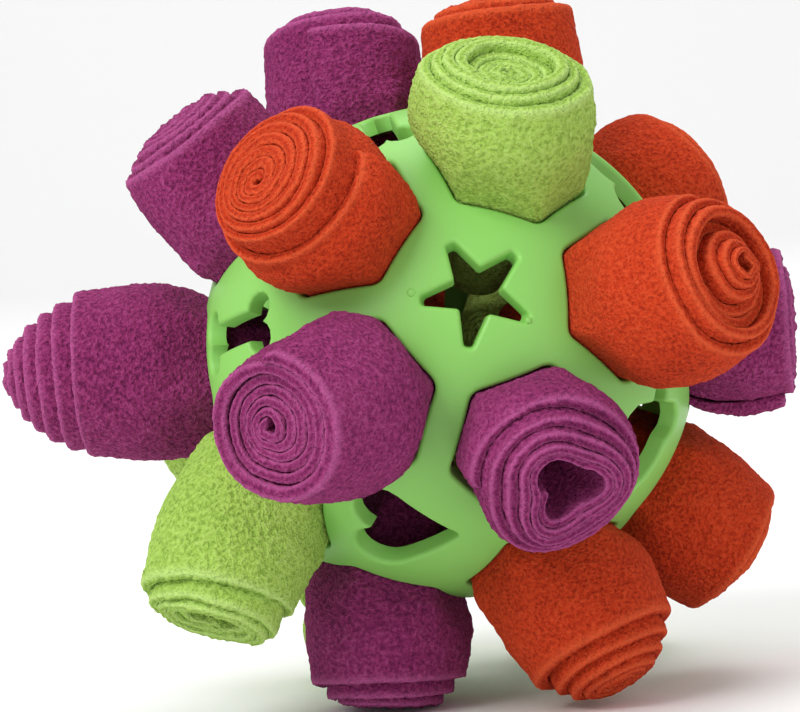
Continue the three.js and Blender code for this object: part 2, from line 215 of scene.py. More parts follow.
outlines = {"star": starOutline, "heart": heartOutline, "bone": boneOutline, "acorn": acornOutline}


def cutterLayers(rim):  # (distance from the ball's centre, how much the outline has grown)
    radius = ball["radius"]
    layers = [(radius - ball["wall"] - ball["pastInside"], 0), (radius - rim, 0)]
    for i in range(1, ball["rimSteps"] + 1):
        a = math.radians(90 * i / ball["rimSteps"])
        layers.append((radius - rim + rim * math.sin(a), rim * (1 - math.cos(a))))
    return layers + [(radius + ball["pastOutside"], rim)]


# A plug that leaves a hole with a rounded rim. shrink says how wide it is at a distance out.
def addCutter(outline, rim, axes, shrink):
    rings = []
    for out, grow in cutterLayers(rim):
        ring = []
        for p in grown(outline, grow):
            x, y = p * shrink(out)
            ring.append(axes @ Vector((x, y, math.sqrt(out * out - x * x - y * y))) * mm)
        rings.append(ring)
    count = len(outline)
    faces = [tuple(reversed(range(count))), tuple(range((len(rings) - 1) * count, len(rings) * count))]
    for r in range(len(rings) - 1):
        for i in range(count):
            j = (i + 1) % count
            faces.append((r * count + i, r * count + j, (r + 1) * count + j, (r + 1) * count + i))
    mesh = bpy.data.meshes.new("cutter")
    mesh.from_pydata([p for ring in rings for p in ring], [], faces)
    cutter = bpy.data.objects.new("cutter", mesh)
    bpy.context.collection.objects.link(cutter)
    return cutter


def deselectAll():
    bpy.ops.object.select_all(action="DESELECT")


def joined(objects, name):
    deselectAll()
    for piece in objects:
        piece.select_set(True)
    bpy.context.view_layer.objects.active = objects[0]
    bpy.ops.object.join()
    objects[0].name = name
    return objects[0]


def addSphere(name, radius, fineness):
    deselectAll()
    bpy.ops.mesh.primitive_ico_sphere_add(subdivisions=fineness, radius=radius * mm)
    bpy.context.object.name = name
    return bpy.context.object


def addPip(cut, right, above, half, high):
    pip = addSphere("pip", half, 3)
    pip.scale = (1, 1, high / half)
    forward = math.sqrt(ball["radius"] ** 2 - right ** 2 - above ** 2)
    out = tangentAxes(directions[cut]) @ Vector((right, above, forward))
    pip.location = out * mm
    pip.rotation_euler = out.to_track_quat("Z", "Y").to_euler()
    bpy.ops.object.transform_apply(location=True, rotation=True, scale=True)
    return pip


def carve(piece, tool, operation="DIFFERENCE"):  # the tool is used up
    deselectAll()
    bpy.context.view_layer.objects.active = piece
    piece.select_set(True)
    bpy.ops.object.modifier_add(type="BOOLEAN")
    modifier = piece.modifiers[-1]
    modifier.operation, modifier.solver, modifier.object = operation, "MANIFOLD", tool
    bpy.ops.object.modifier_apply(modifier=modifier.name)
    bpy.data.objects.remove(tool)


def makeBall():
    shell = addSphere("rubber_ball", ball["radius"], ball["fineness"])
    carve(shell, addSphere("hollow", ball["radius"] - ball["wall"], ball["fineness"] - 1))
    cutters = []
    widestOut = math.hypot(ball["holeMiddle"], ball["holeHalfWidth"])
    for roll in rolls:
        cutters.append(addCutter(hexagonOutline(), ball["holeRim"], holeAxes(roll["near"]),
                                 lambda out: out / widestOut))
    for cut in cutOuts:
        turned = Matrix.Rotation(-math.radians(cut["turn"]), 2)
        points = subdivided(outlines[cut["figure"]](), ball["cutEdge"])
        outline = [turned @ p + Vector(cut["shift"]) for p in points]
        cutters.append(addCutter(outline, ball["cutRim"], tangentAxes(directions[cut["name"]]),
                                 lambda out: 1 + (out - ball["radius"]) * ball["cutDraft"]))
    carve(shell, joined(cutters, "cutters"))
    carve(shell, joined([addPip(*pip) for pip in ball["pips"]], "pips"), "UNION")
    shell.location = Vector(ball["centre"]) * mm
    bpy.ops.object.transform_apply(location=True, rotation=True, scale=True)
    bpy.ops.object.shade_smooth_by_angle(angle=math.radians(ball["smoothUnder"]))
    return shell


# The twenty rolls of fleece. near: the three cut-outs round the hole. turns: how far out from the
# ball's centre the strip's edge is, and its half-width there, after each whole turn from the outer
# end of the strip. bulge: half-width beside the ball. flap: the hexagon corner where the strip ends.
# sway and lean: how far the roll's middle has moved at its bulge and at its tip. Some rolls also have
# hand (-1 when wound the other way), eye (how far the innermost turn lies off the middle of the open
# end), snug (the share of the space between two turns that is fleece), slant (of the strip's end) and
# squash (of the open end: amount, lobes and angle).
rolls = [
    {"node": "roll_orange_upper_left", "fleece": "orange", "near": ("front", "top", "left"),
     "turns": [(57.4, 14.8), (63.4, 13.2), (65.2, 11.5), (66.2, 9.6), (66.6, 7.6), (66.8, 5.7), (67, 3.8),
               (66.6, 2)],
     "bulge": 16.2, "flap": 0.3, "hand": -1, "sway": (-1.3, 0, -1.1), "lean": (-3.8, 1.4, -2.6),
     "eye": (-0.6, 0, -2.8)},
    {"node": "roll_lime_top", "fleece": "lime", "near": ("front", "top", "upperRight"),
     "turns": [(60.6, 15.4), (62, 13.6), (63.2, 11.9), (64, 10), (62, 7.7), (61.7, 5.7), (61.7, 3.7),
               (61.7, 1.7)],
     "bulge": 16.5, "flap": 2, "sway": (-3, 0.3, 1.2), "lean": (-4.4, 1.5, 2.8)},
    {"node": "roll_orange_right", "fleece": "orange", "near": ("front", "upperRight", "lowerRight"),
     "turns": [(64.4, 14.8), (67.2, 13.3), (69.2, 11.5), (66.4, 9.4), (69, 7), (70.4, 5), (71.6, 3.2),
               (71.6, 2.2)],
     "bulge": 16.8, "flap": 4, "sway": (0.6, 0.2, -1.2), "lean": (1.2, 1, -0.2)},
    {"node": "roll_purple_lower_right", "fleece": "purple", "near": ("front", "lowerRight", "bottom"),
     "turns": [(55.8, 14.7), (59.2, 13.2), (61.6, 11.4), (63, 9.5), (63, 7.8), (62.4, 6.2)],
     "bulge": 15.6, "flap": 0.87, "hand": -1, "sway": (0.3, 0, 0.4), "lean": (-0.1, 0, -0.4),
     "squash": (0.2, 3, 20)},
    {"node": "roll_purple_lower_left", "fleece": "purple", "near": ("front", "bottom", "left"),
     "turns": [(71.2, 13.2), (70.6, 10.9), (69.6, 8.8), (69.4, 6.9), (69.5, 5.1), (69.8, 3.4), (70, 1.7)],
     "bulge": 16.6, "flap": 0.4, "hand": -1, "snug": 0.97, "sway": (-0.4, 0.2, 0.6),
     "lean": (-3.6, 1.4, 0.9), "eye": (-2, 0, -0.4)},
    {"node": "roll_lime_bottom_left", "fleece": "lime", "near": ("left", "bottom", "backLeft"),
     "turns": [(63, 13.8), (67, 12.1), (68.6, 10.3), (69, 8.4), (68.4, 6.7), (68, 5.2)],
     "bulge": 14.8, "flap": 2, "sway": (1.3, -0.2, -2.1), "lean": (5.9, -0.8, -10.8), "squash": (0.2, 2, 60)},
    {"node": "roll_purple_foot_left", "fleece": "purple", "near": ("bottom", "backLeft", "backBottom"),
     "turns": [(59.6, 14.6), (62.6, 12.6), (64.6, 10.6), (65.2, 8.6), (65.2, 6.4), (65.2, 4.2), (65.2, 2)],
     "bulge": 15.5, "flap": 3, "sway": (2.2, 0, -0.6), "lean": (5.2, 0, -1.7)},
    {"node": "roll_orange_foot_right", "fleece": "orange", "near": ("bottom", "backBottom", "lowerRight"),
     "turns": [(62, 14.2), (65, 12.1), (67.6, 10), (69.4, 7.9), (70, 5.8), (70, 3.7), (70, 1.8)],
     "bulge": 15.4, "flap": 2, "sway": (1.9, 0.2, 0.6), "lean": (2.8, 1, 0.3)},
    {"node": "roll_orange_bottom_right", "fleece": "orange",
     "near": ("lowerRight", "backBottom", "backRight"),
     "turns": [(64.5, 13.6), (66, 11.4), (67.2, 9.1), (67.4, 6.8), (67.4, 4.4), (67.4, 2)],
     "bulge": 15.2, "flap": 3, "sway": (0, 0, 0), "lean": (0, 0, 0)},
    {"node": "roll_purple_side_right", "fleece": "purple",
     "near": ("lowerRight", "backRight", "upperRight"),
     "turns": [(60.6, 14.6), (62, 12.3), (62.8, 10), (63, 7.6), (63, 5.2), (63, 2.8)],
     "bulge": 15.6, "flap": 0, "sway": (0, 0, -0.7), "lean": (0, 0, -1)},
    {"node": "roll_orange_back_upper_right", "fleece": "orange",
     "near": ("upperRight", "backRight", "backTop"),
     "turns": [(58.8, 14.6), (61.2, 12.3), (62.6, 9.8), (63.2, 7.4), (63.2, 4.9), (63.2, 2.4)],
     "bulge": 15.6, "flap": 4, "sway": (0, 0, 0), "lean": (0, 0, 0)},
    {"node": "roll_orange_back_top", "fleece": "orange", "near": ("upperRight", "backTop", "top"),
     "turns": [(61, 14.4), (63, 12.3), (64.2, 10.1), (64.6, 7.9), (64.6, 5.8), (64.6, 3.6), (64.6, 1.8)],
     "bulge": 15.1, "flap": 1, "sway": (-3.3, 0, 1.1), "lean": (-7.4, 0, 2.2)},
    {"node": "roll_purple_back_top", "fleece": "purple", "near": ("top", "backTop", "backUpperLeft"),
     "turns": [(63.4, 15.2), (66.6, 12.8), (68.4, 10.4), (68.8, 8), (68.8, 5.4), (68.8, 2.8)],
     "bulge": 15.2, "flap": 5, "sway": (1.5, 0, 0.5), "lean": (6.4, 0, 2.3)},
    {"node": "roll_purple_upper_left", "fleece": "purple", "near": ("top", "backUpperLeft", "left"),
     "turns": [(62, 14), (63.2, 12), (64.4, 9.9), (65.2, 7.8), (65.4, 5.6), (65.4, 3.4), (65.4, 1.6)],
     "bulge": 14.8, "flap": 2, "sway": (1.3, 0, 1.6), "lean": (3.8, 0, 4.6)},
    {"node": "roll_purple_side_left", "fleece": "purple", "near": ("left", "backUpperLeft", "backLeft"),
     "turns": [(66, 15.4), (69.8, 14.1), (73.2, 12.5), (76, 10.7), (78.4, 8.6), (80.2, 6.4), (81.6, 4.2),
               (82.4, 2)],
     "bulge": 16.4, "flap": 3, "sway": (0, 0, 1.2), "lean": (0, 0, 2.8), "slant": 0.7},
    {"node": "roll_orange_back_upper_left", "fleece": "orange",
     "near": ("backUpperLeft", "backTop", "back"),
     "turns": [(66, 14.6), (68.6, 12.4), (71, 10.2), (72.8, 7.8), (73, 5.4), (73, 2.8)],
     "bulge": 15.8, "flap": 0, "sway": (-0.4, 0, 0.4), "lean": (-2, 0, 2)},
    {"node": "roll_lime_back_right", "fleece": "lime", "near": ("backTop", "backRight", "back"),
     "turns": [(64, 15), (66.4, 12.7), (67.8, 10.4), (68.8, 8), (69.4, 5.6), (69.4, 3)],
     "bulge": 16.2, "flap": 4, "sway": (0, 0, -0.5), "lean": (0, 0, -2.5)},
    {"node": "roll_lime_back_foot_right", "fleece": "lime", "near": ("backRight", "backBottom", "back"),
     "turns": [(73.4, 14.4), (77, 12.1), (80.4, 9.8), (82.8, 7.5), (83.2, 5.1), (83.2, 2.6)],
     "bulge": 15.6, "flap": 1, "sway": (-0.5, -0.9, -1.7), "lean": (-3.8, -7, -13.3)},
    {"node": "roll_lime_back_foot_left", "fleece": "lime", "near": ("backBottom", "backLeft", "back"),
     "turns": [(69.6, 14), (73.4, 11.7), (76, 9.3), (76.4, 6.9), (76.4, 4.5), (76.4, 2.2)],
     "bulge": 15.4, "flap": 2, "sway": (0, 0, 0), "lean": (0, 0, 0)},
    {"node": "roll_lime_back_left", "fleece": "lime", "near": ("backLeft", "backUpperLeft", "back"),
     "turns": [(68, 14), (70, 11.9), (72, 9.7), (74, 7.4), (75.6, 5), (75.8, 2.6)],
     "bulge": 15.6, "flap": 5, "sway": (0, 0.2, -0.5), "lean": (0, 1.5, -3)},
]

# What all the rolls share. A stretch is given by how far out it starts and ends.
winding = {
    "inner": (18, 5.4),         # how far out the inner end is, and its half-width
    "hexagonFrom": 30,          # the coil is round at its inner end and six-sided from here on
    "neck": (39.2, 43.4),       # the stretch inside the hexagon hole
    "clearance": 0.1,
    "straight": (40, 43),       # stretch where the roll's middle is the hole's
    "shoulder": (46.6, 1.04),   # how far out it is, and how much wider than the hole
    "bulgeAt": 53,
    "pastBulge": 4,             # this much further out, a roll has its open end's shape
    "pastTip": 12,              # a leaning roll leans on for this long past its tip
    "tilting": (44, 56),        # stretch over which the turns tilt with the roll
    "opening": (46, 58),        # stretch over which a coil opens from closed to its turns' half-widths
    "closedHalf": 1.2,          # half-width of the innermost turn where it is closed
    "leastHalf": 2.2,           # half-width below which the cuts get no closer
    "leastRadius": (0.15, 0.1),   # of the innermost turn's plain face, and of its pile
    "eyePower": 1.5,            # how late the turns move toward an eye that lies off the middle
    "thickness": (1, 2.8),      # of the fleece: least and most
    "endTaper": 3,              # stretch over which the outer end of the strip is pressed thin
    "endThin": 0.12,            # its share of the thickness at the very end
    "endCuts": (0, 0.08, 0.25, 0.5, 0.75, 1),
    "innerCuts": (0.35, 0.6, 0.72),   # the inner end of the strip, rounded off
    "hold": (0.3, 0.8),         # the first turn narrows slowly, then from 0.8 on goes under its own end
    "grain": 0.72,   # distance between points where the fleece shows
    "coarse": 6,                # times that, where it is hidden
    "peek": 2,                  # how far down between two turns can be seen
    "peekMiddle": 8,            # and how much further in the middle
    "wobble": 0.5,              # unevenness of the turns sideways, its fineness and its length
    "wobbleFineness": 1.3,
    "wobbleLength": 14,
    "edgeWave": 0.45,           # and in height, with how much it drifts from turn to turn
    "edgeDrift": 0.8,
    "apart": 7.3,               # between two rolls in the noise that makes them uneven
}
pile = {
    "orange": {"clump": 1.4, "height": 0.4, "roundEdge": 0.85},   # of the cut edge: 1 is round
    "purple": {"clump": 1.5, "height": 0.6, "roundEdge": 0.65},
    "lime": {"clump": 1.5, "height": 0.7, "roundEdge": 0.7},
    "growing": (30, 46),        # stretch over which the pile gets its height
    "sunk": 0.4,                # clumps lower than this lie below the plain face
    "paleDip": 0.5,             # share by which the pile is lower where the cut edge is pale
    "stir": (0.9, 0.35),        # fineness and amount by which the clumps are pushed about
    "gap": 1.7,                 # how sharply the pile falls off between two clumps
    "swell": (0.4, 1.4),        # share and fineness of a slower rise and fall
}


def through(stations, x):  # a smooth curve through (x, value) stations
    if x <= stations[0][0]:
        return stations[0][1]
    if x >= stations[-1][0]:
        return stations[-1][1]
    i = max(k for k in range(len(stations) - 1) if stations[k][0] <= x)
    slopes = []
    for k in (i, i + 1):
        (x0, y0), (x1, y1) = stations[max(k - 1, 0)], stations[min(k + 1, len(stations) - 1)]
        slopes.append((y1 - y0) / (x1 - x0))
    (x0, y0), (x1, y1) = stations[i], stations[i + 1]
    width, t = x1 - x0, (x - x0) / (x1 - x0)
    return ((1 + 2 * t) * (1 - t) ** 2 * y0 + t * (1 - t) ** 2 * width * slopes[0]
            + t * t * (3 - 2 * t) * y1 + t * t * (t - 1) * width * slopes[1])


def smooth(x, low, high):
    t = min(max((x - low) / (high - low), 0), 1)
    return t * t * (3 - 2 * t)


def hexagonShape(angle):  # 1 at the middle of a side, more at a corner
    fromSide = (math.degrees(angle) + 30) % 60 - 30
    halfWidth = ball["holeHalfWidth"] - winding["clearance"]
    flat = halfWidth / math.cos(math.radians(fromSide))
    corner = (ball["holeHalfWidth"] - ball["holeCorner"]) / math.cos(math.radians(30))
    return min(flat, corner + ball["holeCorner"] - winding["clearance"]) / halfWidth


class Coil:  # works out where each point of one wound strip of fleece lies

    def __init__(self, roll, seed):
        self.roll, self.seed = roll, seed
        self.axes = holeAxes(roll["near"])
        self.outs = [(k, out) for k, (out, half) in enumerate(roll["turns"])]
        self.halves = [(k, half) for k, (out, half) in enumerate(roll["turns"])]
        self.turns = len(roll["turns"]) - 1
        self.rim, self.rimHalf = roll["turns"][0]
        self.tip = max(out for out, half in roll["turns"])
        sway, lean = (self.axes.inverted() @ Vector(roll[k]) for k in ("sway", "lean"))
        self.eye = self.axes.inverted() @ Vector(roll.get("eye", (0, 0, 0)))
        sway.z = lean.z = self.eye.z = 0
        bulgeAt, past, further = winding["bulgeAt"], winding["pastBulge"], winding["pastTip"]
        tip = max(self.tip, bulgeAt + 2 * past)
        self.path = [(at, Vector()) for at in winding["straight"]]
        self.path += [(bulgeAt, sway), (tip, lean)]
        self.path.append((tip + further, lean + (lean - sway) * further / (tip - bulgeAt)))
        neckHalf = ball["holeHalfWidth"] - winding["clearance"]
        start, end = winding["neck"]
        at, spread = winding["shoulder"]
        middle = ball["holeMiddle"]
        self.profile = [winding["inner"], (start, neckHalf * start / middle), (end, neckHalf * end / middle),
                        (at, neckHalf * spread * at / middle), (bulgeAt, roll["bulge"]),
                        (max(self.rim, bulgeAt + past), self.rimHalf)]

    def freeAt(self, out):  # 0 inside the hole, 1 where the hole no longer shapes the roll
        return smooth(out, winding["neck"][1], winding["bulgeAt"] + winding["pastBulge"])

    def edgeAt(self, turn):
        along = turn * winding["edgeDrift"] + self.seed
        around = Vector((math.cos(turn * math.tau), math.sin(turn * math.tau), along))
        return through(self.outs, turn) + winding["edgeWave"] * noise.noise(around)

    def halfAt(self, turn):
        slow, until = winding["hold"]
        if turn < 1:
            turn = slow * turn + (1 - slow) * smooth(turn, until, 1)
        return through(self.halves, turn)

    def angleAt(self, turn):
        return math.radians(30 + 60 * self.roll["flap"]) + self.roll.get("hand", 1) * math.tau * turn

    def squashAt(self, turn):
        amount, lobes, start = self.roll.get("squash", (0, 1, 0))
        inward = min(turn / self.turns, 1)
        return 1 + amount * math.cos(lobes * (self.angleAt(turn) - math.radians(start))) * inward

    def eyeShift(self, turn):
        return self.eye * min(turn / self.turns, 1) ** winding["eyePower"]

    def thicknessAt(self, turn):  # the strip fills the space down to the next turn
        least, most = winding["thickness"]
        turn = min(turn, self.turns - 1)
        space = self.halfAt(turn) * self.squashAt(turn) - self.halfAt(turn + 1) * self.squashAt(turn + 1)
        step, angle = self.eyeShift(turn + 1) - self.eyeShift(turn), self.angleAt(turn)
        space -= step.x * math.cos(angle) + step.y * math.sin(angle)
        return min(max(self.roll.get("snug", 1) * space, least), most)

    def place(self, turn, out, inset):  # inset is how far below the strip's outer face the point lies
        roll = self.roll
        slant = roll.get("slant", 0) * (self.rim - out) / roll["bulge"] * (1 - smooth(turn, 0, 0.3))
        turn += slant / math.tau
        angle = self.angleAt(turn)
        sixSided = smooth(out, winding["inner"][0], winding["hexagonFrom"])
        sixSided *= 1 - smooth(out, winding["neck"][1], winding["bulgeAt"])
        shape = 1 + (hexagonShape(angle) - 1) * sixSided
        size = through(self.profile, out)
        free = self.freeAt(out)
        squash = 1 + free * (self.squashAt(turn) - 1)
        half = self.halfAt(turn)
        inward = (self.rimHalf - half) / (self.rimHalf - self.halves[-1][1])
        closed = self.rimHalf + (winding["closedHalf"] - self.rimHalf) * inward
        half = closed + (half - closed) * smooth(out, *winding["opening"])
        radius = size * shape * squash * half / self.rimHalf
        radius -= inset * min(1, size / self.rimHalf)
        around = Vector((math.cos(angle), math.sin(angle), out / winding["wobbleLength"] + self.seed))
        radius += free * winding["wobble"] * noise.noise(around * winding["wobbleFineness"])
        return angle, max(radius, winding["leastRadius"][0])

    def world(self, turn, angle, radius, out):
        slope = through(self.path, out + 0.5) - through(self.path, out - 0.5)
        slope *= smooth(out, *winding["tilting"])
        tilt = Vector((0, 0, 1)).rotation_difference(Vector((slope.x, slope.y, 1)))
        flat = Vector((radius * math.cos(angle), radius * math.sin(angle), 0))
        flat += self.eyeShift(turn) * self.freeAt(out)
        flat.rotate(tilt)
        point = flat + through(self.path, out) + Vector((0, 0, out))
        return self.axes @ point + Vector(ball["centre"])


def rowsBelow(fineDepth, length):  # distances from the strip's edge down one face: close where it shows
    grain, coarse = winding["grain"], winding["grain"] * winding["coarse"]
    rows = [grain * k for k in range(1, int(fineDepth / grain) + 1)]
    rows += [coarse * k for k in range(1, int(length / coarse) + 1) if coarse * k > fineDepth]
    return [d for d in rows if d < length - grain] + [length]


# The strip's cut edge: angles from its outer face over to its inner one, and how pale it is there,
# as a painted highlight, or how dark, below 0
rimPoints = ((90, 0.3), (62, 1), (40, 1), (0, -0.6), (-40, 1), (-62, 1), (-90, 0.3))


def squared(value, power):  # turns the sine and cosine of a round edge into those of a squarer one
    return math.copysign(abs(value) ** power, value)


# One cut across the strip: up the outer face, over the edge and down the inner face. Each entry is
# (how far along, how far out, inset, sideways and outward pile, how pale, for the painted highlight).
def ringAt(coil, turn, thin):
    whole = coil.thicknessAt(turn)
    half = whole / 2 * thin
    roundness = pile[coil.roll["fleece"]]["roundEdge"]
    sunk = whole * (1 - thin) if turn < 1 else 0
    top = coil.edgeAt(turn) - half
    length = top - winding["inner"][0]
    outerTop = coil.edgeAt(turn - 1) if turn >= 1 else winding["neck"][0]
    innerTop = coil.edgeAt(turn + 1)
    outerFine = max(top - outerTop, 0) + winding["peek"]
    innerFine = max(top - innerTop, 0) + winding["peek"]
    if turn > coil.turns - 1:
        innerFine += winding["peekMiddle"]
    ring = [(-d, top - d, sunk, (1, 0), 0) for d in reversed(rowsBelow(outerFine, length))]
    for k, (degrees, pale) in enumerate(rimPoints):
        a = math.radians(degrees)
        side, up = squared(math.sin(a), roundness), squared(math.cos(a), roundness)
        along = (k - len(rimPoints) // 2) * 1e-3
        ring.append((along, top + half * up, sunk + half * (1 - side), (side, up), pale))
    return ring + [(d, top - d, sunk + 2 * half, (-1, 0), 0) for d in rowsBelow(innerFine, length)]


def clumpAt(point, size, seed):  # height of the pile, 0 between two clumps and 1 on top of one
    fineness, amount = pile["stir"]
    at = point / size + Vector((seed, 0, 0))
    at += noise.noise_vector(at * fineness) * amount
    nearest, second = noise.voronoi(at)[0][:2]
    clump = min(1, (second - nearest) * pile["gap"])
    share, fineness = pile["swell"]
    return clump * (1 - share) + share * (0.5 + 0.5 * noise.noise(point * fineness))


def pressed(z):  # fleece that would pass the surface is pressed flat on it
    soft = 0.5
    return z if z > soft else soft * math.exp((z - soft) / soft)


# Faces between two rings of (vertex, how far along), which need not have as many points each
def zipped(left, right):
    faces, i, j = [], 0, 0
    while i + 1 < len(left) or j + 1 < len(right):
        leftNext = left[i + 1][1] if i + 1 < len(left) else math.inf
        rightNext = right[j + 1][1] if j + 1 < len(right) else math.inf
        if abs(leftNext - rightNext) < 1e-4:
            faces.append((left[i][0], right[j][0], right[j + 1][0], left[i + 1][0]))
            i, j = i + 1, j + 1
        elif leftNext < rightNext:
            faces.append((left[i][0], right[j][0], left[i + 1][0]))
            i += 1
        else:
            faces.append((left[i][0], right[j][0], right[j + 1][0]))
            j += 1
    return faces


# The cuts across the strip, in turns from its outer end, closer together at the two ends
def turnSteps(coil):
    taper, thin, least = winding["endTaper"], winding["endThin"], winding["leastHalf"]
    steps = []
    for d in winding["endCuts"]:
        turn = d * taper / coil.rimHalf / math.tau
        steps.append((turn, thin + (1 - thin) * math.sqrt(1 - (1 - d) ** 2)))
    while turn < coil.turns - 0.02:
        turn += winding["grain"] / max(coil.halfAt(turn), least) / math.tau
        steps.append((min(turn, coil.turns), 1))
    for d in winding["innerCuts"]:
        turn = coil.turns + d / least / math.tau * 0.5
        steps.append((turn, math.sqrt(1.03 - (d / winding["innerCuts"][-1]) ** 2)))
    return steps


def stripLength(coil):
    parts = 8  # a turn
    return sum(math.tau * coil.halfAt(k / parts) / parts for k in range(parts * coil.turns))


def endFaces(ring, innerEnd):  # closes one end of the strip
    outer = [(v, p) for v, p in ring if p <= 0]
    inner = [(v, -p) for v, p in reversed(ring) if p >= 0]
    faces = []
    for face in zipped(inner, outer) if innerEnd else zipped(outer, inner):
        corners = tuple(dict.fromkeys(face))  # both faces of the fleece share the point on its edge
        if len(corners) > 2:
            faces.append(corners)
    return faces


def turnOutwards(piece):  # its faces, and smooth shading
    deselectAll()
    piece.select_set(True)
    bpy.context.view_layer.objects.active = piece
    bpy.ops.object.mode_set(mode="EDIT")
    bpy.ops.mesh.select_all(action="SELECT")
    bpy.ops.mesh.normals_make_consistent(inside=False)
    bpy.ops.object.mode_set(mode="OBJECT")
    bpy.ops.object.shade_smooth()


def makeRoll(roll, seed):
    coil, fleece = Coil(roll, seed), pile[roll["fleece"]]
    points, clumps, pales, rings, faces = [], [], [], [], []
    for turn, thin in turnSteps(coil):
        ring = []
        for along, out, inset, (side, up), pale in ringAt(coil, turn, thin):
            angle, radius = coil.place(turn, out, inset)
            clump = clumpAt(coil.world(turn, angle, radius, out), fleece["clump"], seed)
            lift = fleece["height"] * (clump - pile["sunk"]) * (1 - pile["paleDip"] * pale)
            lift *= smooth(out, *pile["growing"])
            radius = max(radius + lift * side, winding["leastRadius"][1])
            point = coil.world(turn, angle, radius, out + lift * up)
            point.z = pressed(point.z)
            ring.append((len(points), along))
            points.append(point * mm)
            clumps.append(clump)
            pales.append(pale)
        rings.append(ring)
    for left, right in zip(rings, rings[1:]):
        faces += zipped(left, right)
        faces.append((left[-1][0], right[-1][0], right[0][0], left[0][0]))
    faces += endFaces(rings[0], False) + endFaces(rings[-1], True)
    mesh = bpy.data.meshes.new("fleece_" + roll["node"])
    mesh.from_pydata(points, [], faces)
    # The clump heights and the cut edge values go to the material: painted shade between the clumps, and a
    # painted highlight along the cut edge.
    for name, values in (("clump", clumps), ("cutEdge", pales)):
        mesh.attributes.new(name, "FLOAT", "POINT").data.foreach_set("value", values)
    piece = bpy.data.objects.new("fleece_" + roll["node"], mesh)
    bpy.context.collection.objects.link(piece)
    turnOutwards(piece)
    return piece, ((coil.rim - winding["inner"][0]) * mm, stripLength(coil) * mm)


def srgb(red, green, blue):
    def linear(v):
        v /= 255
        return v / 12.92 if v <= 0.04045 else ((v + 0.055) / 1.055) ** 2.4
    return (linear(red), linear(green), linear(blue), 1)


# tufts: how many there are to a metre. bump: their height.
# deep is painted shade between the tufts and clumps, and tip is painted light on their tops and a painted
# highlight along the cut edge; deep also darkens the middle of the cut edge, and tip tints the sheen.
fleeces = {
    "orange": {"slot": "fleece_orange", "deep": srgb(150, 34, 14), "body": srgb(202, 61, 27),
               "tip": srgb(224, 92, 52), "tufts": 1500.0, "bump": 0.55},
    "purple": {"slot": "fleece_purple", "deep": srgb(92, 20, 66), "body": srgb(148, 48, 106),
               "tip": srgb(188, 92, 150), "tufts": 1350.0, "bump": 0.8},
    "lime": {"slot": "fleece_lime", "deep": srgb(122, 160, 56), "body": srgb(174, 212, 94),
             "tip": srgb(200, 232, 136), "tufts": 1250.0, "bump": 0.75},
}
nap = {
    "tuftRange": (0.28, 0.68),  # stretch of the noise that goes from between tufts to their tops
    "fuzz": 3600.0,
    "drift": 60.0,
    # The tufts, clumps and fuzz move the tone with their height: painted shade where they are low and painted
    # light where they are high. The drift is random tone.
    "middleTone": 0.46,         # 0 is deep, 0.5 body and 1 tip, and how far each effect moves it
    "tuftShadeAndLight": 0.44,
    "clumpShadeAndLight": 0.2,
    "fuzzShadeAndLight": 0.8,
    "driftTone": 0.4,
    "deepTones": (0.1, 0.5),    # from deep to body, and from body to tip
    "tipTones": (0.5, 1.1),
    "tuftHeight": 0.6,
    "fuzzHeight": 0.55,
    "cloth": {"Roughness": 0.95, "Specular IOR Level": 0.15, "Sheen Weight": 0.3, "Sheen Roughness": 0.5},
}
rubber = {
    "slot": "rubber", "colour": srgb(142, 206, 100), "shade": srgb(128, 196, 90),
    "roughness": (0.37, 0.5), "specular": 0.4, "cloud": 45.0, "grain": 1500.0, "bump": 0.05,
}


def newGroup(name, inputs, outputs):
    group = bpy.data.node_groups.new(name, "ShaderNodeTree")
    for socket, kind, value in inputs:
        made = group.interface.new_socket(name=socket, in_out="INPUT", socket_type=kind)
        if value is not None:
            made.default_value = value
    for socket, kind in outputs:
        group.interface.new_socket(name=socket, in_out="OUTPUT", socket_type=kind)
    return group, group.nodes.new("NodeGroupInput"), group.nodes.new("NodeGroupOutput")


# A node with its settings, and its inputs by name or number: a value, or another node's output
def addNode(tree, kind, settings=None, **values):
    node = tree.nodes.new(kind)
    for key, value in (settings or {}).items():
        setattr(node, key, value)
    for key, value in values.items():
        socket = node.inputs[int(key[1:]) if key[1:].isdigit() else key.replace("_", " ")]
        if isinstance(value, bpy.types.NodeSocket):
            tree.links.new(value, socket)
        else:
            socket.default_value = value
    return node


def calculate(tree, operation, a, b, c=0.0):
    return addNode(tree, "ShaderNodeMath", {"operation": operation}, i0=a, i1=b, i2=c).outputs[0]


def stretch(tree, value, low, high):  # 0 at low and 1 at high
    return addNode(tree, "ShaderNodeMapRange", None, i0=value, i1=low, i2=high).outputs[0]


def noiseAt(tree, place, scale, detail, roughness=0.5):
    return addNode(tree, "ShaderNodeTexNoise", None, Vector=place, Scale=scale, Detail=detail,
                   Roughness=roughness).outputs["Fac"]


def mixColour(tree, share, a, b):
    return addNode(tree, "ShaderNodeMix", {"data_type": "RGBA"}, i0=share, i6=a, i7=b).outputs[2]
